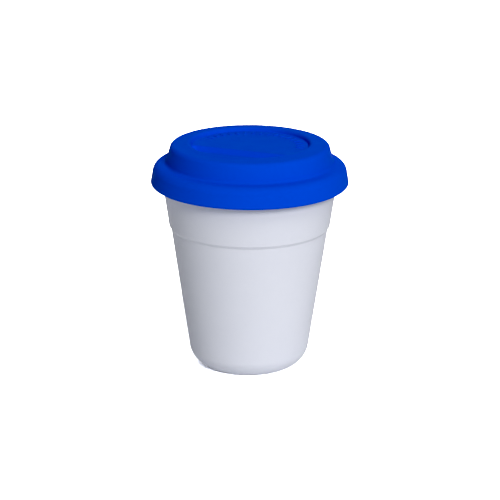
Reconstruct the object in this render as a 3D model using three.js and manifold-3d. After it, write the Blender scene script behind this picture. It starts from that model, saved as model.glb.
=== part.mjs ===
// A reusable coffee cup: a double-walled plastic cup with a push-on silicone lid.
// Millimetres, +Z up. The origin is the centre of the foot, on the surface the cup stands on,
// and the drinker's side of the lid faces -Y.
import * as THREE from 'three';
import { mergeVertices } from 'three/addons/utils/BufferGeometryUtils.js';
import Module from 'manifold-3d';

const wasm = await Module();
wasm.setup();

// ---- Driving dimensions ----
const SEGMENTS = 48;            // facets around every turned piece
const ARC_STEP = Math.PI / 9;   // largest turn between two points of a rounded corner
const GAP = 0.3;                // clearance between neighbouring pieces
const WELD_DISTANCE = 1e-5;     // points closer than this become one

// Outer shell
const BASE = { r: 27.1, z: 0 };           // where the tapered wall would meet the ground
const BASE_ROUND = 10.4;                  // rounding between the wall and the foot
const FOOT_WIDTH = 2.6;                   // flat ring that the cup stands on
const FOOT_HEIGHT = 0.8;                  // height of the hollow inside the foot ring
const STEP_LOW = { r: 36.8, z: 67.4 };    // foot of the step around the wall
const STEP_HIGH = { r: 37.75, z: 68.8 };  // top of the step
const STEP_ROUND = 0.4;
const SHELL_TOP = { r: 41.05, z: 92 };
const SHELL_WALL = 1.6;

// Inner liner
const LINER_WALL = 1.4;
const AIR_GAP = 2.2;            // between the two walls
const LINER_FLOOR = 8;          // height of the floor that the drink stands on
const LINER_ROUND = 5;          // rounding inside, between that floor and the wall
const COLLAR_HEIGHT = 5;        // straight stretch that plugs into the shell
const RIM = { r: 42.4, z: 94.4 };
const RIM_ROUND = 1;
const RIM_UNDERSIDE_ROUND = 0.4;
const MOUTH_RADIUS = 37.6;

// Lid, outside
const LIP = { r: 46.3, z: 88.5 };         // bottom edge of the skirt
const LIP_ROUND = 0.9;
const SHOULDER = { r: 44.6, z: 97.7 };    // top of the skirt
const SHOULDER_ROUND = 4;
const CREASE = { r: 39, z: 98.6 };        // where the shoulder meets the dome
const CREASE_ROUND = 1.5;
const DOME_TOP = { r: 36.75, z: 107.1 };  // outer edge of the lid's top
const DOME_ROUND = 2.4;
const TOP_HEIGHT = 108;                   // inner edge of the lid's top, around the recess
const RECESS_RADIUS = 27.2;
const RECESS_DEPTH = 1.9;
const RECESS_FLARE = 0.7;                 // how much wider the recess is at its mouth
const RECESS_ROUND = 1.6;
const TOP_FLOOR = TOP_HEIGHT - RECESS_DEPTH;

// Lid, inside
const LID_WALL = 2;
const SKIRT_WALL = 2.4;
const LIP_INSIDE_ROUND = 0.6;
const CHANNEL = { r: RIM.r + GAP, z: RIM.z + GAP };   // outer top corner of the rim's channel
const RIB_COUNT = 2;            // sealing ribs that press on the cup's rim
const RIB_PITCH = 2.2;
const RIB_HEIGHT = 0.6;
const RIB_FLAT = 0.5;           // width of a rib's crest
const RIB_SLOPE = 0.4;          // width of a rib's flank
const PLUG_DEPTH = 2.4;         // ring that hangs inside the cup's mouth
const PLUG_RADIUS = MOUTH_RADIUS - 0.5;
const PLUG_LEAD_IN = 0.4;       // how much narrower the ring is at its lower edge

// Sip side of the lid
const CHORD = -9;               // straight edge between the lid's top and the sip well
const WELL_RADIUS = RECESS_RADIUS - 0.4;
const TRAY_RADIUS = RECESS_RADIUS + 1.4;
const WELL_EDGE_DEPTH = 2.3;    // drop below the top's floor under the straight edge
const WELL_DEPTH = 3.8;         // drop below the top's floor at the rim
const WELL_BANK = 1.5;          // how far the bank under the straight edge leans forward
const SIP_SLOT = { length: 12, width: 3.6, y: -22.2, endFacets: 8 };
const VENT = { radius: 0.8, y: -14.5, facets: 12 };
const CUT_MARGIN = 4;           // how far a cutting solid runs past what it cuts

// Raised marks around the back of the lid's top
const MARK_COUNT = 17;
const MARK_ARC = Math.PI * 0.84;
const MARK_RADIUS = 23.2;
const MARK = { length: 4, width: 1.5, height: 0.35, endFacets: 3 };

const WHITE_PLASTIC = { color: 0xf1f2f6, roughness: 0.42, metalness: 0 };
const LINER_PLASTIC = { color: 0xf4f4f6, roughness: 0.35, metalness: 0 };
const BLUE_SILICONE = { color: 0x0247d8, roughness: 0.55, metalness: 0 };

// ---- Outlines ----

// Turns corners [r, z, rounding], listed anticlockwise, into the points of an outline.
function outline(corners) {
  return corners.flatMap(([r, z, rounding = 0], i) => {
    const corner = new THREE.Vector2(r, z);
    if (rounding === 0) {
      return [corner];
    }
    const [pr, pz] = corners[i - 1];
    const [nr, nz] = corners[i + 1];
    const back = new THREE.Vector2(pr, pz).sub(corner).normalize();
    const ahead = new THREE.Vector2(nr, nz).sub(corner).normalize();
    return roundedCorner(corner, back, ahead, rounding);
  });
}

// An arc that is tangent to both directions out of a corner.
function roundedCorner(corner, back, ahead, radius) {
  const half = Math.acos(back.dot(ahead)) / 2;
  const middle = back.clone().add(ahead).normalize();
  const centre = corner.clone().addScaledVector(middle, radius / Math.sin(half));
  const first = corner.clone().addScaledVector(back, radius / Math.tan(half)).sub(centre);
  const turn = Math.sign(ahead.cross(back)) * (Math.PI - 2 * half);
  const steps = Math.ceil(Math.abs(turn) / ARC_STEP);
  const arc = [];
  for (let k = 0; k <= steps; k += 1) {
    const arm = first.clone().rotateAround(new THREE.Vector2(), (turn * k) / steps);
    arc.push(arm.add(centre));
  }
  return arc;
}

// The radius at height z of the straight wall through two profile points.
function radiusAt(low, high, z) {
  return low.r + ((high.r - low.r) * (z - low.z)) / (high.z - low.z);
}

// ---- Solids ----

// Keeps only merged positions, so that the surface is closed.
function welded(geometry) {
  geometry.deleteAttribute('normal');
  geometry.deleteAttribute('uv');
  return mergeVertices(geometry, WELD_DISTANCE);
}

// Turns an outline, which starts and ends on the axis, about +Z.
function turned(points) {
  const geometry = new THREE.LatheGeometry(points, SEGMENTS);
  geometry.rotateX(Math.PI / 2);
  return welded(geometry);
}

function toSolid(geometry) {
  const merged = welded(geometry);
  return new wasm.Manifold(new wasm.Mesh({
    numProp: 3,
    vertProperties: new Float32Array(merged.attributes.position.array),
    triVerts: new Uint32Array(merged.index.array),
  }));
}

function toGeometry(solid) {
  const { vertProperties, triVerts } = solid.getMesh();
  const geometry = new THREE.BufferGeometry();
  geometry.setAttribute('position', new THREE.BufferAttribute(vertProperties, 3));
  geometry.setIndex(new THREE.BufferAttribute(triVerts, 1));
  return geometry;
}

function toMesh(name, geometry, finish) {
  const shown = geometry.toNonIndexed();
  shown.computeVertexNormals();
  const mesh = new THREE.Mesh(shown, new THREE.MeshStandardMaterial(finish));
  mesh.name = name;
  return mesh;
}

// An upright prism with round ends, its long side along X.
function pill(length, width, height, curveSegments) {
  const radius = width / 2;
  const reach = (length - width) / 2;
  const shape = new THREE.Shape();
  shape.absarc(reach, 0, radius, -Math.PI / 2, Math.PI / 2);
  shape.absarc(-reach, 0, radius, Math.PI / 2, (3 * Math.PI) / 2);
  return new THREE.ExtrudeGeometry(shape, { depth: height, bevelEnabled: false, curveSegments });
}

// A disc about +Z.
function disc(radius, bottom, top) {
  return turned(outline([[0, bottom], [radius, bottom], [radius, top], [0, top]]));
}

// A prism along X with this outline of [y, z] points.
function sidePrism(points, width) {
  const shape = new THREE.Shape(points.map(([y, z]) => new THREE.Vector2(y, z)));
  const prism = new THREE.ExtrudeGeometry(shape, { depth: width, bevelEnabled: false });
  prism.translate(0, 0, -width / 2);
  prism.rotateY(Math.PI / 2);
  prism.rotateX(Math.PI / 2);
  return prism;
}

// ---- Outer shell ----

function outerShell() {
  const floor = FOOT_HEIGHT + SHELL_WALL;
  const inside = (point) => [point.r - SHELL_WALL, point.z];
  const wall = outline([
    [0, BASE.z],
    [BASE.r, BASE.z, BASE_ROUND],
    [STEP_LOW.r, STEP_LOW.z, STEP_ROUND],
    [STEP_HIGH.r, STEP_HIGH.z, STEP_ROUND],
    [SHELL_TOP.r, SHELL_TOP.z],
    inside(SHELL_TOP),
    inside(STEP_HIGH),
    inside(STEP_LOW),
    [radiusAt(BASE, STEP_LOW, floor) - SHELL_WALL, floor, BASE_ROUND - SHELL_WALL],
    [0, floor],
  ]).slice(1);
  const foot = wall[0].x - FOOT_WIDTH;
  const underside = outline([[0, FOOT_HEIGHT], [foot - FOOT_HEIGHT, FOOT_HEIGHT], [foot, 0]]);
  return turned([...underside, ...wall]);
}

// ---- Inner liner ----

function innerLiner() {
  const collar = SHELL_TOP.z - COLLAR_HEIGHT;
  const neck = collar - AIR_GAP;
  const seat = SHELL_TOP.z + GAP;
  const under = LINER_FLOOR - LINER_WALL;
  const shellInside = (z) => radiusAt(STEP_HIGH, SHELL_TOP, z) - SHELL_WALL;
  const low = { r: BASE.r - SHELL_WALL - AIR_GAP, z: 0 };
  const high = { r: shellInside(collar) - AIR_GAP, z: neck };
  return turned(outline([
    [0, under],
    [radiusAt(low, high, under), under, LINER_ROUND + LINER_WALL],
    [high.r, neck],
    [shellInside(collar) - GAP, collar],
    [shellInside(SHELL_TOP.z) - GAP, seat],
    [RIM.r, seat, RIM_UNDERSIDE_ROUND],
    [RIM.r, RIM.z, RIM_ROUND],
    [MOUTH_RADIUS, RIM.z, RIM_ROUND],
    [MOUTH_RADIUS, collar],
    [high.r - LINER_WALL, neck],
    [radiusAt(low, high, LINER_FLOOR) - LINER_WALL, LINER_FLOOR, LINER_ROUND],
    [0, LINER_FLOOR],
  ]));
}

// ---- Silicone lid ----

// The turned body: skirt, shoulder, dome and recessed top, hollow underneath.
function lidBody() {
  return toSolid(turned(outline([
    [0, TOP_FLOOR - LID_WALL],
    [RECESS_RADIUS + LID_WALL, TOP_FLOOR - LID_WALL],
    [RECESS_RADIUS + LID_WALL + RECESS_FLARE, TOP_HEIGHT - LID_WALL],
    [DOME_TOP.r - LID_WALL, DOME_TOP.z - LID_WALL],
    [PLUG_RADIUS - LID_WALL, CHANNEL.z - PLUG_DEPTH],
    [PLUG_RADIUS - PLUG_LEAD_IN, CHANNEL.z - PLUG_DEPTH],
    [PLUG_RADIUS, CHANNEL.z],
    ...sealingRibs(),
    [LIP.r - SKIRT_WALL, LIP.z, LIP_INSIDE_ROUND],
    [LIP.r, LIP.z, LIP_ROUND],
    [SHOULDER.r, SHOULDER.z, SHOULDER_ROUND],
    [CREASE.r, CREASE.z, CREASE_ROUND],
    [DOME_TOP.r, DOME_TOP.z, DOME_ROUND],
    [RECESS_RADIUS + RECESS_FLARE, TOP_HEIGHT, RECESS_ROUND],
    [RECESS_RADIUS, TOP_FLOOR],
    [0, TOP_FLOOR],
  ])));
}

// The channel's outer wall with its ribs, from the top down.
function sealingRibs() {
  const hollow = CHANNEL.r + RIB_HEIGHT;
  const corners = [];
  for (let k = 0; k < RIB_COUNT; k += 1) {
    const top = CHANNEL.z - k * RIB_PITCH;
    const next = top - RIB_PITCH;
    corners.push([CHANNEL.r, top], [CHANNEL.r, top - RIB_FLAT]);
    corners.push([hollow, top - RIB_FLAT - RIB_SLOPE], [hollow, next + RIB_SLOPE]);
  }
  const last = CHANNEL.z - RIB_COUNT * RIB_PITCH;
  corners.push([CHANNEL.r, last], [CHANNEL.r, last - RIB_FLAT]);
  return corners;
}

// The side outline of the sip well, or of the tray under it when given the wall's thickness.
function wellSide(top, wall) {
  const edge = CHORD + wall;
  const floor = TOP_FLOOR - wall;
  const front = -TRAY_RADIUS - CUT_MARGIN;
  return [
    [edge, top],
    [edge, floor],
    [edge - WELL_BANK, floor - WELL_EDGE_DEPTH],
    [front, floor - WELL_DEPTH],
    [front, top],
  ];
}

// Adds the tray under the sip well, then cuts the well, its slot and its vent.
function withSipWell(body) {
  const low = TOP_FLOOR - WELL_DEPTH - LID_WALL - CUT_MARGIN;
  const high = TOP_HEIGHT + CUT_MARGIN;
  const width = 2 * TRAY_RADIUS + CUT_MARGIN;
  const traySide = sidePrism(wellSide(TOP_FLOOR - LID_WALL / 2, LID_WALL), width);
  const tray = toSolid(traySide).intersect(toSolid(disc(TRAY_RADIUS, low, high)));
  const side = sidePrism(wellSide(high, 0), width);
  const well = toSolid(side).intersect(toSolid(disc(WELL_RADIUS, low, high)));
  const slot = pill(SIP_SLOT.length, SIP_SLOT.width, high - low, SIP_SLOT.endFacets);
  slot.translate(0, SIP_SLOT.y, low);
  const vent = new THREE.CylinderGeometry(VENT.radius, VENT.radius, high - low, VENT.facets);
  vent.rotateX(Math.PI / 2);
  vent.translate(0, VENT.y, (low + high) / 2);
  return body.add(tray).subtract(well).subtract(toSolid(slot)).subtract(toSolid(vent));
}

// Adds the raised marks along an arc around the back of the lid's top.
function withMarks(body) {
  let marked = body;
  for (let k = 0; k < MARK_COUNT; k += 1) {
    const mark = pill(MARK.length, MARK.width, 2 * MARK.height, MARK.endFacets);
    mark.translate(MARK_RADIUS, 0, TOP_FLOOR - MARK.height);
    mark.rotateZ(Math.PI / 2 + MARK_ARC * (k / (MARK_COUNT - 1) - 0.5));
    marked = marked.add(toSolid(mark));
  }
  return marked;
}

function siliconeLid() {
  return toGeometry(withMarks(withSipWell(lidBody())));
}

// ---- Assembly ----

const cup = new THREE.Group();
cup.add(
  toMesh('outer_shell', outerShell(), WHITE_PLASTIC),
  toMesh('inner_liner', innerLiner(), LINER_PLASTIC),
  toMesh('silicone_lid', siliconeLid(), BLUE_SILICONE),
);

export default cup;
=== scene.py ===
"""A reusable coffee cup on a pale floor: a double-walled plastic cup with a push-on silicone lid.

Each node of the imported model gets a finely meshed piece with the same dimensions, rounded
edges and a procedural material. Lengths are in millimetres until a mesh is made.
"""
import math

import bmesh
import bpy
import numpy as np
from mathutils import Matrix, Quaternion, Vector


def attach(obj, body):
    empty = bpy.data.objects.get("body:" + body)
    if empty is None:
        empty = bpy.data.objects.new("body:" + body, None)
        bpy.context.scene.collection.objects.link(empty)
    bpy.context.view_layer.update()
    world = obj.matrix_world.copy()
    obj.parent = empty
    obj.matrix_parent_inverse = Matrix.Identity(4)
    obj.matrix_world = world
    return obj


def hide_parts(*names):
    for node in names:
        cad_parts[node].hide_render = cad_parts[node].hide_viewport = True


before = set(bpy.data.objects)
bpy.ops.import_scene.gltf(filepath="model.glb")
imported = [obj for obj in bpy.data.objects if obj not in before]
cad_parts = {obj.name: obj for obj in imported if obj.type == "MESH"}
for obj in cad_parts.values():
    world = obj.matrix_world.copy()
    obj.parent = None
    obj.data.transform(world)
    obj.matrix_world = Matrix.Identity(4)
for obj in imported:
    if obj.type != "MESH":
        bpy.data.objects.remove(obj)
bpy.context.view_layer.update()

MM = 0.001

# ---- Dimensions, as in the CAD model ----

# Outer shell
BASE = (27.1, 0.0)
BASE_ROUND = 10.4
FOOT_WIDTH = 2.6
FOOT_HEIGHT = 0.8
STEP_LOW = (36.8, 67.4)
STEP_HIGH = (37.75, 68.8)
STEP_ROUND = 0.4
SHELL_TOP = (41.05, 92.0)
SHELL_WALL = 1.6

# Inner liner
LINER_WALL = 1.4
AIR_GAP = 2.2
LINER_FLOOR = 8.0
LINER_ROUND = 5.0
COLLAR = 87.0
RIM = (42.4, 94.4)
MOUTH_RADIUS = 37.6
GAP = 0.3

# Lid, outside
LIP = (46.28, 88.5)      # a hair inside the CAD model's facets
LIP_ROUND = 0.9
SHOULDER = (44.6, 97.7)
SHOULDER_ROUND = 4.0
CREASE = (39.0, 98.6)
CREASE_ROUND = 1.5
DOME_TOP = (36.75, 107.1)
DOME_ROUND = 2.4
TOP_HEIGHT = 107.98      # a hair inside the CAD model's facets
RECESS_RADIUS = 27.2
RECESS_DEPTH = 1.9
RECESS_FLARE = 0.7
RECESS_ROUND = 1.6
TOP_FLOOR = TOP_HEIGHT - RECESS_DEPTH

# Lid, inside
LID_WALL = 2.0
SKIRT_WALL = 2.4
CHANNEL = (RIM[0] + GAP, RIM[1] + GAP)
RIB_COUNT = 2
RIB_PITCH = 2.2
RIB_HEIGHT = 0.6
RIB_FLAT = 0.5
RIB_SLOPE = 0.4
RIB_ROUND = 0.12
PLUG_DEPTH = 2.4
PLUG_RADIUS = MOUTH_RADIUS - 0.5
PLUG_LEAD_IN = 0.4

# Sip side of the lid
CHORD = -9.0
WELL_EDGE_DEPTH = 2.3
WELL_SLOPE = 0.068
WELL_BANK = 1.5
WELL_CORNER = 2.0
WELL_EDGE_ROUND = 0.8
WELL_FOOT_ROUND = 0.8
SLOT_LENGTH = 12.0
SLOT_WIDTH = 3.6
SLOT_Y = -22.2
SLOT_ROUND = 0.6
VENT_RADIUS = 0.8
VENT_Y = -14.5
VENT_BEVEL = 0.25

# Raised marks around the back of the lid's top
MARK_COUNT = 17
MARK_ARC = math.pi * 0.84
MARK_RADIUS = 23.2
MARK_LENGTH = 4.0
MARK_WIDTH = 1.5
MARK_HEIGHT = 0.35
MARK_ROUND = 0.22

# ---- Roundings and moulding marks that only this model has ----

EDGE_ROUND = 0.3        # plain edges
SOFT_ROUND = 1.5        # bends in the walls, where nobody sees them
GATE_HEIGHT = 0.3       # low ring that the mould's gate leaves under the foot
GATE_INSIDE = 0.9
GATE_OUTSIDE = 4.3
GATE_INNER_BANK = (0.15, 0.08)      # width and rounding
GATE_OUTER_BANK = (0.3, 0.15)
COLLAR_ROUND = 0.6
NECK_ROUND = 1.2
SEAT_ROUND = 0.2
RIM_ROUND = 1.0
RIM_UNDERSIDE_ROUND = 0.4
NUB_RADIUS = 1.5        # low nub in the middle of the liner's floor
NUB_HEIGHT = 0.15
NUB_BANK = 0.2
NUB_ROUND = 0.1
LIP_INSIDE_ROUND = 0.6
PLUG_ROUND = 0.5
DOME_INSIDE_ROUND = 1.2
UNDER_ROUND = 0.4       # where the underside of the lid's top steps down
RECESS_FOOT_ROUND = 0.5

# ---- Camera and light: azimuth 0 is -Y and 90 is +X ----

VIEW_AZIMUTH = 22.6
VIEW_ELEVATION = 18
VIEW_DISTANCE = 0.85
VIEW_ROLL = 0.25
LENS = 129.8
SHIFT_X = 0.0011
AIM = Vector((0, 0, 0.0553))
LIGHTS = [              # name, azimuth, elevation, width in degrees, strength, whether it shines in gloss
    ("key", VIEW_AZIMUTH + 22, 30, 18, 0.57, True),
    ("high", VIEW_AZIMUTH + 24, 55, 25, 0.29, True),
    ("back", VIEW_AZIMUTH + 180, 50, 70, 0.16, False),
    ("rear", VIEW_AZIMUTH + 182, 15, 30, 0.25, False),
]
WORLD_LIGHT = 0.02
FLOOR_COLOUR = (0.82, 0.83, 0.85)
FLOOR_SEEN = 6.0        # the floor's brightness to the camera, which washes out all but the near shadow
FLOOR_REACH = 8000      # from the axis to each side, in millimetres
BLACK_LEVEL = 0.014

# ---- Surfaces: sizes in millimetres ----

BROAD_SIZE = 28         # slow drift in colour
BROAD_SHARE = 0.6       # its share of the drift; the rest is the fine mottling's
GLOSS_SIZE = 9
GLOSS_DRIFT = 0.04
GRAIN_DEPTH = 0.1
SILICONE_TINT = (0.05, 0.25, 1, 1)

# ---- Meshing ----

CHORD_ERROR = 0.004     # how far an arc's segments may stray from it
SLIVER = 0.001          # width of a face that is too thin to keep
SUPPORT = 0.25          # distance of the points that keep a straight stretch flat
ARC_COUNT = 62          # points on half of the well's circle, its corner and its straight edge
CORNER_COUNT = 10
CHORD_COUNT = 88
COUNT = 2 * (ARC_COUNT + CORNER_COUNT + CHORD_COUNT)
FLOOR_STEPS = (0.012, 0.25, 0.5, 0.75, 0.985)   # shares of the way over the recess's floor
WELL_STEPS = (0.03, 0.35, 0.7, 1)               # shares of the way over the well's floor
FLOOR_DROP = 0.3        # depth, on the well's round wall, of the rings at the recess's floor,
EDGE_DROP = 0.4         # at the straight edge,
BANK_DROP = 0.9         # at the top of the bank under it
LOW_DROP = 1.0          # and further down the bank
WALL_SPLIT = 0.4        # share of the recess's wall that is meshed with its floor
FAR = 9                 # far enough along a line to show its direction
MARK_SIDES = 28
MARK_BENDS = 5
SLOT_BENDS = 8
VENT_SIDES = 32
VENT_MARGIN = 1
SHARP_DEGREES = 40      # edges that turn by more stay sharp
AROUND = np.arange(COUNT) * 2 * math.pi / COUNT - math.pi / 2
UNIT = np.stack([np.cos(AROUND), np.sin(AROUND)], 1)


def rounded(before, corner, after, radius):
    """Points of an arc that is tangent to both sides of a corner."""
    corner = np.array(corner, float)
    back = np.array(before, float) - corner
    ahead = np.array(after, float) - corner
    back /= np.linalg.norm(back)
    ahead /= np.linalg.norm(ahead)
    half = math.acos(float(back @ ahead)) / 2
    middle = (back + ahead) / np.linalg.norm(back + ahead)
    centre = corner + middle * radius / math.sin(half)
    first = corner + back * radius / math.tan(half) - centre
    turn = math.copysign(math.pi - 2 * half, ahead[0] * back[1] - ahead[1] * back[0])
    steps = max(3, math.ceil(abs(turn) / (2 * math.acos(1 - CHORD_ERROR / radius))))
    angles = np.linspace(0, turn, steps + 1)
    cos, sin = np.cos(angles), np.sin(angles)
    arm = np.stack([cos * first[0] - sin * first[1], sin * first[0] + cos * first[1]], 1)
    return arm + centre


def outline(corners):
    """Points of an outline with corners (r, z) or (r, z, rounding), and supports on its straights."""
    points = []
    for i, corner in enumerate(corners):
        if len(corner) == 3:
            points.extend(rounded(corners[i - 1][:2], corner[:2], corners[i + 1][:2], corner[2]))
        else:
            points.append(np.array(corner, float))
    supported = [points[0]]
    for here, there in zip(points, points[1:]):
        length = np.linalg.norm(there - here)
        if length > 4 * SUPPORT:
            along = (there - here) * SUPPORT / length
            supported += [here + along, there - along]
        supported.append(there)
    return np.array(supported)


def line_radius(low, high, z):
    """The radius at height z of the straight wall through two profile points."""
    return low[0] + (high[0] - low[0]) * (z - low[1]) / (high[1] - low[1])


def circle_ring(radius, z):
    """COUNT points around the axis."""
    return np.column_stack([UNIT * radius, np.full(COUNT, float(z))])


def bridge(rings, closed):
    """Quads between neighbouring rings of COUNT points."""
    pairs = len(rings) if closed else len(rings) - 1
    around = np.arange(COUNT)
    after = (around + 1) % COUNT
    faces = []
    for i in range(pairs):
        low, high = i * COUNT, ((i + 1) % len(rings)) * COUNT
        faces.append(np.stack([low + around, low + after, high + after, high + around], 1))
    return np.concatenate(faces).tolist()


def make_object(name, vertices, faces):
    """An object from points in millimetres and faces that list them."""
    mesh = bpy.data.meshes.new(name)
    mesh.from_pydata((np.asarray(vertices) * MM).tolist(), [], faces)
    mesh.validate()
    piece = bpy.data.objects.new(name, mesh)
    bpy.context.scene.collection.objects.link(piece)
    return piece


def shade(piece):
    """Smooth shading, but for the sharp edges."""
    mesh = piece.data
    mesh.polygons.foreach_set("use_smooth", [True] * len(mesh.polygons))
    mesh.set_sharp_from_angle(angle=math.radians(SHARP_DEGREES))


def turned(name, points):
    """A solid turned about +Z from an outline that starts and ends on the axis, anticlockwise."""
    rings = [circle_ring(r, z) for r, z in points[1:-1]]
    vertices = np.concatenate([*rings, [[0, 0, points[0][1]], [0, 0, points[-1][1]]]])
    faces = bridge(rings, closed=False)
    first, last = len(vertices) - 2, len(vertices) - 1
    top = (len(rings) - 1) * COUNT
    for k in range(COUNT):
        after = (k + 1) % COUNT
        faces.append([first, after, k])
        faces.append([last, top + k, top + after])
    piece = make_object(name, vertices, faces)
    shade(piece)
    return piece


# ---- The cup ----


def gate_mark():
    """The middle of the shell's underside, from the axis to the outside of the gate's ring."""
    raised = FOOT_HEIGHT + GATE_HEIGHT
    inner_width, inner_round = GATE_INNER_BANK
    outer_width, outer_round = GATE_OUTER_BANK
    return [
        (0, FOOT_HEIGHT),
        (GATE_INSIDE, FOOT_HEIGHT, inner_round),
        (GATE_INSIDE + inner_width, raised, inner_round),
        (GATE_OUTSIDE - outer_width, raised, outer_round),
        (GATE_OUTSIDE, FOOT_HEIGHT, outer_round),
    ]


def make_shell():
    floor = FOOT_HEIGHT + SHELL_WALL
    foot = rounded((0, 0), BASE, STEP_LOW, BASE_ROUND)[0][0] - FOOT_WIDTH
    inner = [(r - SHELL_WALL, z) for r, z in (SHELL_TOP, STEP_HIGH, STEP_LOW)]
    return turned("cup_shell", outline([
        *gate_mark(),
        (foot - FOOT_HEIGHT, FOOT_HEIGHT, EDGE_ROUND),
        (foot, 0.0, EDGE_ROUND),
        (*BASE, BASE_ROUND),
        (*STEP_LOW, STEP_ROUND),
        (*STEP_HIGH, STEP_ROUND),
        (*SHELL_TOP, EDGE_ROUND),
        (*inner[0], EDGE_ROUND),
        (*inner[1], SOFT_ROUND),
        (*inner[2], SOFT_ROUND),
        (line_radius(BASE, STEP_LOW, floor) - SHELL_WALL, floor, BASE_ROUND - SHELL_WALL),
        (0, floor),
    ]))


def shell_inside(z):
    """The radius of the shell's inner face above its step."""
    return line_radius(STEP_HIGH, SHELL_TOP, z) - SHELL_WALL


def make_liner():
    neck = COLLAR - AIR_GAP
    seat = SHELL_TOP[1] + GAP
    under = LINER_FLOOR - LINER_WALL
    low = (BASE[0] - SHELL_WALL - AIR_GAP, 0)
    high = (shell_inside(COLLAR) - AIR_GAP, neck)
    return turned("cup_liner", outline([
        (0, under),
        (line_radius(low, high, under), under, LINER_ROUND + LINER_WALL),
        (*high, SOFT_ROUND),
        (shell_inside(COLLAR) - GAP, COLLAR, COLLAR_ROUND),
        (shell_inside(SHELL_TOP[1]) - GAP, seat, SEAT_ROUND),
        (RIM[0], seat, RIM_UNDERSIDE_ROUND),
        (*RIM, RIM_ROUND),
        (MOUTH_RADIUS, RIM[1], RIM_ROUND),
        (MOUTH_RADIUS, COLLAR, NECK_ROUND),
        (high[0] - LINER_WALL, neck, NECK_ROUND),
        (line_radius(low, high, LINER_FLOOR) - LINER_WALL, LINER_FLOOR, LINER_ROUND),
        (NUB_RADIUS, LINER_FLOOR, NUB_ROUND),
        (NUB_RADIUS - NUB_BANK, LINER_FLOOR + NUB_HEIGHT, NUB_ROUND),
        (0, LINER_FLOOR + NUB_HEIGHT),
    ]))


# ---- The lid ----


def d_curve(arc, chord, corner):
    """Plan of the sip well: a circle cut off by a straight edge, with rounded corners."""
    y = chord - corner
    x = math.sqrt((arc - corner) ** 2 - y * y)
    leave = math.atan2(y, x)
    on_arc = np.linspace(-math.pi / 2, leave, ARC_COUNT + 1)
    on_corner = np.linspace(leave, math.pi / 2, CORNER_COUNT + 1)[1:]
    on_chord = np.linspace(x, 0, CHORD_COUNT + 1)[1:]
    right = np.concatenate([
        np.stack([arc * np.cos(on_arc), arc * np.sin(on_arc)], 1),
        np.stack([x + corner * np.cos(on_corner), y + corner * np.sin(on_corner)], 1),
        np.stack([on_chord, np.full(CHORD_COUNT, chord)], 1),
    ])
    left = right[-2:0:-1] * (-1, 1)
    return np.concatenate([right, left])


def chord_share():
    """0 along the well's circle, 1 along its straight edge, and smooth in its corners."""
    t = np.arange(1, CORNER_COUNT + 1) / CORNER_COUNT
    right = np.concatenate([np.zeros(ARC_COUNT + 1), t * t * (3 - 2 * t), np.ones(CHORD_COUNT)])
    return np.concatenate([right, right[-2:0:-1]])


SHARE = chord_share()


def pill_curve(offset):
    """Plan of the sip slot, grown by offset, from its near middle anticlockwise."""
    reach, radius = (SLOT_LENGTH - SLOT_WIDTH) / 2, SLOT_WIDTH / 2
    round_length = math.pi * radius
    along = np.linspace(0, 2 * reach + round_length, COUNT // 2 + 1)
    turn = np.clip((along - reach) / round_length, 0, 1) * math.pi - math.pi / 2
    x = np.where(along < reach, along, np.clip(2 * reach + round_length - along, 0, reach))
    normal = np.stack([np.cos(turn), np.sin(turn)], 1)
    right = np.stack([x, np.zeros_like(x)], 1) + normal * (radius + offset)
    right[[0, -1], 0] = 0
    left = right[-2:0:-1] * (-1, 1)
    return np.concatenate([right, left]) + (0, SLOT_Y)


def well_depth(y, edge):
    """Depth of the well's floor, which falls away from the foot of its straight edge."""
    return WELL_EDGE_DEPTH + WELL_SLOPE * np.clip(edge - WELL_BANK - y, 0, None)


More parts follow.
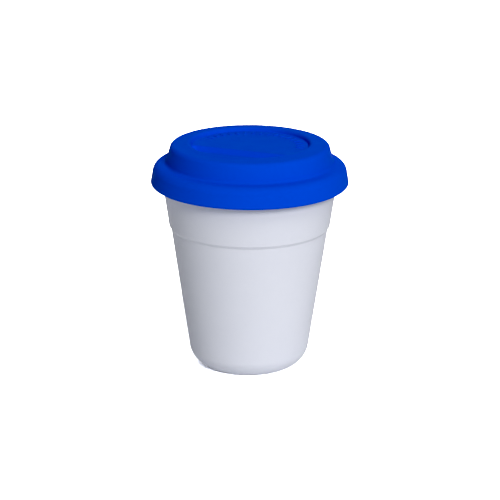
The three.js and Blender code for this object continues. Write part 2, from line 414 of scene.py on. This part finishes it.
def step_rings(level, radius, chord, foot_round):
    """Rings from a circular recess's wall across its floor, down the sip well and up to the slot.

    Around the well's circle the recess's wall runs on down; towards its straight edge there is
    first the recess's floor. Each ring blends the two by SHARE.
    """
    rings = []

    def add(plan, circle_drop, edge_drop):
        drop = circle_drop + (edge_drop - circle_drop) * SHARE
        rings.append(np.column_stack([plan, level - drop]))

    wall_top = (radius + RECESS_FLARE, level + RECESS_DEPTH)
    foot = rounded(wall_top, (radius, level), (0, level), foot_round)
    start = foot[0][1] - level
    runs_on = np.linspace(start, -FLOOR_DROP, len(foot))
    for (r, z), height in zip(foot, runs_on):
        wall = radius + RECESS_FLARE * max(height, 0) / RECESS_DEPTH
        plan = UNIT * (wall + (r - wall) * SHARE)[:, None]
        add(plan, -height, level - z)
    last_plan = rings[-1][:, :2]

    bank = (WELL_BANK, -WELL_EDGE_DEPTH)
    edge = rounded((-FAR, 0), (0, 0), bank, WELL_EDGE_ROUND)
    foot = rounded((0, 0), bank, (FAR, -WELL_EDGE_DEPTH), WELL_FOOT_ROUND)
    first_plan = d_curve(radius, chord - edge[0][0], WELL_CORNER)
    for t in FLOOR_STEPS:
        add(last_plan + (first_plan - last_plan) * t, FLOOR_DROP + (EDGE_DROP - FLOOR_DROP) * t, 0.0)
    for i, (u, v) in enumerate(edge):
        drop = EDGE_DROP + (BANK_DROP - EDGE_DROP) * i / len(edge)
        add(d_curve(radius, chord - u, WELL_CORNER), drop, -v)
    slope = np.array(bank) / math.hypot(*bank)
    upper, lower = edge[-1] + slope * SUPPORT, foot[0] - slope * SUPPORT
    add(d_curve(radius, chord - upper[0], WELL_CORNER), LOW_DROP, -upper[1])
    plan = d_curve(radius, chord - lower[0], WELL_CORNER)
    depth = well_depth(plan[:, 1], chord)
    add(plan, depth - WELL_FOOT_ROUND - SUPPORT, depth - WELL_EDGE_DEPTH - lower[1])
    for i, (u, v) in enumerate(foot):
        turn = math.pi / 2 * i / (len(foot) - 1)
        inward = WELL_FOOT_ROUND * (1 - math.cos(turn))
        plan = d_curve(radius - inward, chord - u, WELL_CORNER - inward)
        depth = well_depth(plan[:, 1], chord)
        add(plan, depth - WELL_FOOT_ROUND * (1 - math.sin(turn)), depth - WELL_EDGE_DEPTH - v)
    last_plan, first_plan = rings[-1][:, :2], pill_curve(SLOT_ROUND + SUPPORT)
    for t in WELL_STEPS:
        plan = last_plan + (first_plan - last_plan) * t
        depth = well_depth(plan[:, 1], chord)
        add(plan, depth, depth)
    return rings


def slot_edge(level, chord, towards):
    """Rings of the slot's rounded edge, from the floor inwards; towards is 1 if the hole runs down."""
    rings = []
    for turn in np.linspace(0, math.pi / 2, SLOT_BENDS):
        plan = pill_curve(SLOT_ROUND * (1 - math.sin(turn)))
        drop = well_depth(plan[:, 1], chord) + towards * SLOT_ROUND * (1 - math.cos(turn))
        rings.append(np.column_stack([plan, level - drop]))
    return rings


def sealing_ribs():
    """The channel's outer wall with its ribs, from the top down."""
    hollow = CHANNEL[0] + RIB_HEIGHT
    corners = [(*CHANNEL, RIB_ROUND)]
    for k in range(RIB_COUNT):
        top = CHANNEL[1] - k * RIB_PITCH
        if k:
            corners.append((CHANNEL[0], top, RIB_ROUND))
        corners.append((CHANNEL[0], top - RIB_FLAT, RIB_ROUND))
        corners.append((hollow, top - RIB_FLAT - RIB_SLOPE, RIB_ROUND))
        corners.append((hollow, top - RIB_PITCH + RIB_SLOPE, RIB_ROUND))
    last = CHANNEL[1] - RIB_COUNT * RIB_PITCH
    return [*corners, (CHANNEL[0], last, RIB_ROUND), (CHANNEL[0], last - RIB_FLAT, RIB_ROUND)]


def lid_side():
    """Outline of the lid from its underside's step, around the skirt, to its recess's wall."""
    under = TOP_HEIGHT - LID_WALL
    step = RECESS_RADIUS + LID_WALL
    plug_low = CHANNEL[1] - PLUG_DEPTH
    return outline([
        (step + RECESS_FLARE * (1 - WALL_SPLIT), under - RECESS_DEPTH * WALL_SPLIT),
        (step + RECESS_FLARE, under, UNDER_ROUND),
        (DOME_TOP[0] - LID_WALL, DOME_TOP[1] - LID_WALL, DOME_INSIDE_ROUND),
        (PLUG_RADIUS - LID_WALL, plug_low, PLUG_ROUND),
        (PLUG_RADIUS - PLUG_LEAD_IN, plug_low, PLUG_ROUND),
        (PLUG_RADIUS, CHANNEL[1], EDGE_ROUND),
        *sealing_ribs(),
        (LIP[0] - SKIRT_WALL, LIP[1], LIP_INSIDE_ROUND),
        (*LIP, LIP_ROUND),
        (*SHOULDER, SHOULDER_ROUND),
        (*CREASE, CREASE_ROUND),
        (*DOME_TOP, DOME_ROUND),
        (RECESS_RADIUS + RECESS_FLARE, TOP_HEIGHT, RECESS_ROUND),
        (RECESS_RADIUS + RECESS_FLARE * WALL_SPLIT, TOP_FLOOR + RECESS_DEPTH * WALL_SPLIT),
    ])


def stack_faces(levels, sides):
    """Quads between neighbouring rings of a stack, and a cap at each end."""
    faces = []
    for low in range(0, (levels - 1) * sides, sides):
        high = low + sides
        for k in range(sides):
            after = (k + 1) % sides
            faces.append([low + k, low + after, high + after, high + k])
    faces.append(list(range(sides))[::-1])
    faces.append([(levels - 1) * sides + k for k in range(sides)])
    return faces


def mark_mesh(angle):
    """One raised mark: a closed pill with a rounded top edge, sunk a little into the lid."""
    reach, radius = (MARK_LENGTH - MARK_WIDTH) / 2, MARK_WIDTH / 2
    turn = (np.arange(MARK_SIDES) * 2 + 1) * math.pi / MARK_SIDES
    normal = np.stack([np.cos(turn), np.sin(turn)], 1)
    middle = np.stack([np.sign(normal[:, 0]) * reach, np.zeros(MARK_SIDES)], 1)
    levels = [(0, -MARK_ROUND)]
    for bend in np.linspace(0, math.pi / 2, MARK_BENDS):
        inward = MARK_ROUND * (1 - math.cos(bend))
        levels.append((inward, MARK_HEIGHT - MARK_ROUND * (1 - math.sin(bend))))
    rings = []
    for inset, z in levels:
        plan = middle + normal * (radius - inset)
        rings.append(np.column_stack([plan, np.full(MARK_SIDES, TOP_FLOOR + z)]))
    vertices = np.concatenate(rings)
    vertices[:, 0] += MARK_RADIUS
    cos, sin = math.cos(angle), math.sin(angle)
    vertices = np.column_stack([
        vertices[:, 0] * cos - vertices[:, 1] * sin,
        vertices[:, 0] * sin + vertices[:, 1] * cos,
        vertices[:, 2],
    ])
    return vertices, stack_faces(len(rings), MARK_SIDES)


def with_marks(piece):
    """Adds the raised marks to the lid's mesh."""
    mesh = piece.data
    vertices = [np.array([v.co for v in mesh.vertices]) / MM]
    faces = [list(p.vertices) for p in mesh.polygons]
    total = len(vertices[0])
    for k in range(MARK_COUNT):
        angle = math.pi / 2 + MARK_ARC * (k / (MARK_COUNT - 1) - 0.5)
        more, sides = mark_mesh(angle)
        faces += [[total + v for v in side] for side in sides]
        vertices.append(more)
        total += len(more)
    name = piece.name
    bpy.data.objects.remove(piece)
    return make_object(name + "_marked", np.concatenate(vertices), faces)


def vent_cutter():
    """A pin with a flare where it leaves the well's floor and the tray's underside."""
    well_floor = TOP_FLOOR - float(well_depth(np.array(VENT_Y), CHORD))
    tray_floor = TOP_FLOOR - LID_WALL - float(well_depth(np.array(VENT_Y), CHORD + LID_WALL))
    wide = VENT_RADIUS + VENT_BEVEL
    levels = [
        (wide, tray_floor - VENT_MARGIN),
        (wide, tray_floor),
        (VENT_RADIUS, tray_floor + VENT_BEVEL),
        (VENT_RADIUS, well_floor - VENT_BEVEL),
        (wide, well_floor),
        (wide, well_floor + VENT_MARGIN),
    ]
    turn = np.arange(VENT_SIDES) * 2 * math.pi / VENT_SIDES
    vertices = []
    for r, z in levels:
        vertices += [(r * math.cos(a), r * math.sin(a) + VENT_Y, z) for a in turn]
    return make_object("vent_cutter", vertices, stack_faces(len(levels), VENT_SIDES))


def cut(piece, cutter):
    """Subtracts the cutter from the piece."""
    modifier = piece.modifiers.new("cut", "BOOLEAN")
    modifier.operation = "DIFFERENCE"
    modifier.solver = "EXACT"
    modifier.object = cutter
    shown = piece.evaluated_get(bpy.context.evaluated_depsgraph_get())
    mesh = bpy.data.meshes.new_from_object(shown)
    piece.modifiers.clear()
    piece.data = mesh
    bpy.data.objects.remove(cutter)
    clean(mesh)


def clean(mesh):
    """Removes slivers that are too thin to see."""
    whole = bmesh.new()
    whole.from_mesh(mesh)
    bmesh.ops.triangulate(whole, faces=[face for face in whole.faces if len(face.verts) > 4])
    bmesh.ops.remove_doubles(whole, verts=whole.verts, dist=SLIVER * MM)
    bmesh.ops.dissolve_degenerate(whole, edges=whole.edges, dist=SLIVER * MM)
    whole.to_mesh(mesh)
    whole.free()


def make_lid():
    top = step_rings(TOP_FLOOR, RECESS_RADIUS, CHORD, RECESS_FOOT_ROUND)
    under = step_rings(TOP_FLOOR - LID_WALL, RECESS_RADIUS + LID_WALL, CHORD + LID_WALL, UNDER_ROUND)
    top += slot_edge(TOP_FLOOR, CHORD, 1)
    under += slot_edge(TOP_FLOOR - LID_WALL, CHORD + LID_WALL, -1)
    side = [circle_ring(r, z) for r, z in lid_side()]
    rings = [*under[::-1], *side, *top]
    body = make_object("lid", np.concatenate(rings), bridge(rings, closed=True))
    cut(body, vent_cutter())
    lid = with_marks(body)
    lid.name = "lid"
    shade(lid)
    return lid


# ---- Materials ----


def node(tree, kind, **values):
    """A new node; each value is one of its settings or the default of an input with that name."""
    made = tree.nodes.new(kind)
    for key, value in values.items():
        if hasattr(made, key):
            setattr(made, key, value)
        else:
            made.inputs[key.replace("_", " ")].default_value = value
    return made


def noise(tree, place, size, detail=2.0, roughness=0.5):
    """Noise whose features are about size millimetres across."""
    made = node(tree, "ShaderNodeTexNoise", Scale=1 / (size * MM), Detail=detail, Roughness=roughness)
    tree.links.new(place.outputs["Object"], made.inputs["Vector"])
    return made.outputs["Fac"]


def spread(tree, value, low, high):
    """Stretches noise, most of which lies between 0.3 and 0.7, over low to high."""
    made = node(tree, "ShaderNodeMapRange", From_Min=0.3, From_Max=0.7, To_Min=low, To_Max=high)
    tree.links.new(value, made.inputs["Value"])
    return made.outputs["Result"]


def moulded(name, colour, tint, roughness, specular, grain, mottle):
    """A moulded surface: broad drift in colour and gloss, faint mottling and a fine grain."""
    material = bpy.data.materials.new(name)
    material.use_nodes = True
    tree = material.node_tree
    shader = tree.nodes["Principled BSDF"]
    place = tree.nodes.new("ShaderNodeTexCoord")
    broad = noise(tree, place, BROAD_SIZE)
    fine = noise(tree, place, mottle, detail=3, roughness=0.6)
    blend = node(tree, "ShaderNodeMix", data_type="RGBA")
    blend.inputs["A"].default_value = (*colour, 1)
    blend.inputs["B"].default_value = (*tint, 1)
    both = node(tree, "ShaderNodeMath", operation="ADD")
    tree.links.new(spread(tree, broad, 0, BROAD_SHARE), both.inputs[0])
    tree.links.new(spread(tree, fine, 0, 1 - BROAD_SHARE), both.inputs[1])
    tree.links.new(both.outputs[0], blend.inputs["Factor"])
    tree.links.new(blend.outputs["Result"], shader.inputs["Base Color"])
    gloss = noise(tree, place, GLOSS_SIZE, detail=3)
    drift = spread(tree, gloss, roughness - GLOSS_DRIFT, roughness + GLOSS_DRIFT)
    tree.links.new(drift, shader.inputs["Roughness"])
    shader.inputs["Specular IOR Level"].default_value = specular
    grain_size, grain_strength = grain
    bump = node(tree, "ShaderNodeBump", Strength=grain_strength, Distance=GRAIN_DEPTH * MM)
    tree.links.new(noise(tree, place, grain_size), bump.inputs["Height"])
    tree.links.new(bump.outputs["Normal"], shader.inputs["Normal"])
    return material


def dress(piece, material, body, node_name):
    """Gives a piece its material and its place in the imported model."""
    piece.data.materials.clear()
    piece.data.materials.append(material)
    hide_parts(node_name)
    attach(piece, body)


# ---- Studio ----


def make_floor():
    """A wide plain floor. The camera sees far more light from it than it gives to the object."""
    r = FLOOR_REACH
    corners = [(-r, -r, 0), (r, -r, 0), (r, r, 0), (-r, r, 0)]
    floor = make_object("floor", corners, [[0, 1, 2, 3]])
    material = bpy.data.materials.new("pale_floor")
    material.use_nodes = True
    tree = material.node_tree
    shader = tree.nodes["Principled BSDF"]
    shader.inputs["Roughness"].default_value = 1
    shader.inputs["Specular IOR Level"].default_value = 0
    path = tree.nodes.new("ShaderNodeLightPath")
    blend = node(tree, "ShaderNodeMix", data_type="RGBA")
    blend.inputs["A"].default_value = (*FLOOR_COLOUR, 1)
    blend.inputs["B"].default_value = (FLOOR_SEEN, FLOOR_SEEN, FLOOR_SEEN, 1)
    tree.links.new(path.outputs["Is Camera Ray"], blend.inputs["Factor"])
    tree.links.new(blend.outputs["Result"], shader.inputs["Base Color"])
    floor.data.materials.append(material)


def make_world():
    """A world that the camera sees as white, but that gives hardly any light."""
    world = bpy.data.worlds.new("studio")
    bpy.context.scene.world = world
    world.use_nodes = True
    tree = world.node_tree
    dim = tree.nodes["Background"]
    dim.inputs["Color"].default_value = (1, 1, 1, 1)
    dim.inputs["Strength"].default_value = WORLD_LIGHT
    seen = node(tree, "ShaderNodeBackground", Strength=1.0)
    seen.inputs["Color"].default_value = (1, 1, 1, 1)
    path = tree.nodes.new("ShaderNodeLightPath")
    blend = tree.nodes.new("ShaderNodeMixShader")
    tree.links.new(path.outputs["Is Camera Ray"], blend.inputs["Fac"])
    tree.links.new(dim.outputs[0], blend.inputs[1])
    tree.links.new(seen.outputs[0], blend.inputs[2])
    tree.links.new(blend.outputs[0], tree.nodes["World Output"].inputs["Surface"])


def direction(azimuth, elevation):
    """Unit vector towards a place round the object. Azimuth 0 is -Y and 90 is +X."""
    a, e = math.radians(azimuth), math.radians(elevation)
    return Vector((math.sin(a) * math.cos(e), -math.cos(a) * math.cos(e), math.sin(e)))


def sun(name, azimuth, elevation, softness, strength, gloss):
    """Even light from far away. Strength is its share of a white surface facing it."""
    lamp = bpy.data.lights.new(name, "SUN")
    lamp.angle = math.radians(softness)
    lamp.energy = strength * math.pi
    rig = bpy.data.objects.new(name, lamp)
    rig.rotation_mode = "QUATERNION"
    rig.rotation_quaternion = direction(azimuth, elevation).to_track_quat("Z", "Y")
    rig.visible_glossy = gloss
    bpy.context.scene.collection.objects.link(rig)


def make_camera():
    """The photo's camera."""
    data = bpy.data.cameras.new("camera")
    data.sensor_width = 36
    data.lens = LENS
    data.shift_x = SHIFT_X
    rig = bpy.data.objects.new("camera", data)
    back = direction(VIEW_AZIMUTH, VIEW_ELEVATION)
    rig.location = AIM + back * VIEW_DISTANCE
    rig.rotation_mode = "QUATERNION"
    roll = Quaternion((0, 0, 1), math.radians(VIEW_ROLL))
    rig.rotation_quaternion = (-back).to_track_quat("-Z", "Y") @ roll
    bpy.context.scene.collection.objects.link(rig)
    bpy.context.scene.camera = rig


def set_display():
    """Plain display colours, with the darkest values cut so that deep colours stay pure."""
    view = bpy.context.scene.view_settings
    view.view_transform = "Standard"
    view.use_curve_mapping = True
    view.curve_mapping.black_level = (BLACK_LEVEL,) * 3
    view.curve_mapping.update()


shell_plastic = moulded(
    "white_polypropylene", (0.80, 0.82, 0.90), (0.78, 0.80, 0.885),
    roughness=0.42, specular=0.18, grain=(0.5, 0.1), mottle=2.5)
liner_plastic = moulded(
    "liner_polypropylene", (0.83, 0.84, 0.89), (0.81, 0.82, 0.875),
    roughness=0.36, specular=0.4, grain=(0.5, 0.08), mottle=2.5)
lid_silicone = moulded(
    "blue_silicone", (0.0003, 0.078, 0.71), (0.0003, 0.072, 0.67),
    roughness=0.55, specular=0.02, grain=(0.7, 0.15), mottle=1.8)
lid_silicone.node_tree.nodes["Principled BSDF"].inputs["Specular Tint"].default_value = SILICONE_TINT

dress(make_shell(), shell_plastic, "cup", "outer_shell")
dress(make_liner(), liner_plastic, "cup", "inner_liner")
dress(make_lid(), lid_silicone, "lid", "silicone_lid")

make_floor()
make_world()
for light in LIGHTS:
    sun(*light)
make_camera()
set_display()
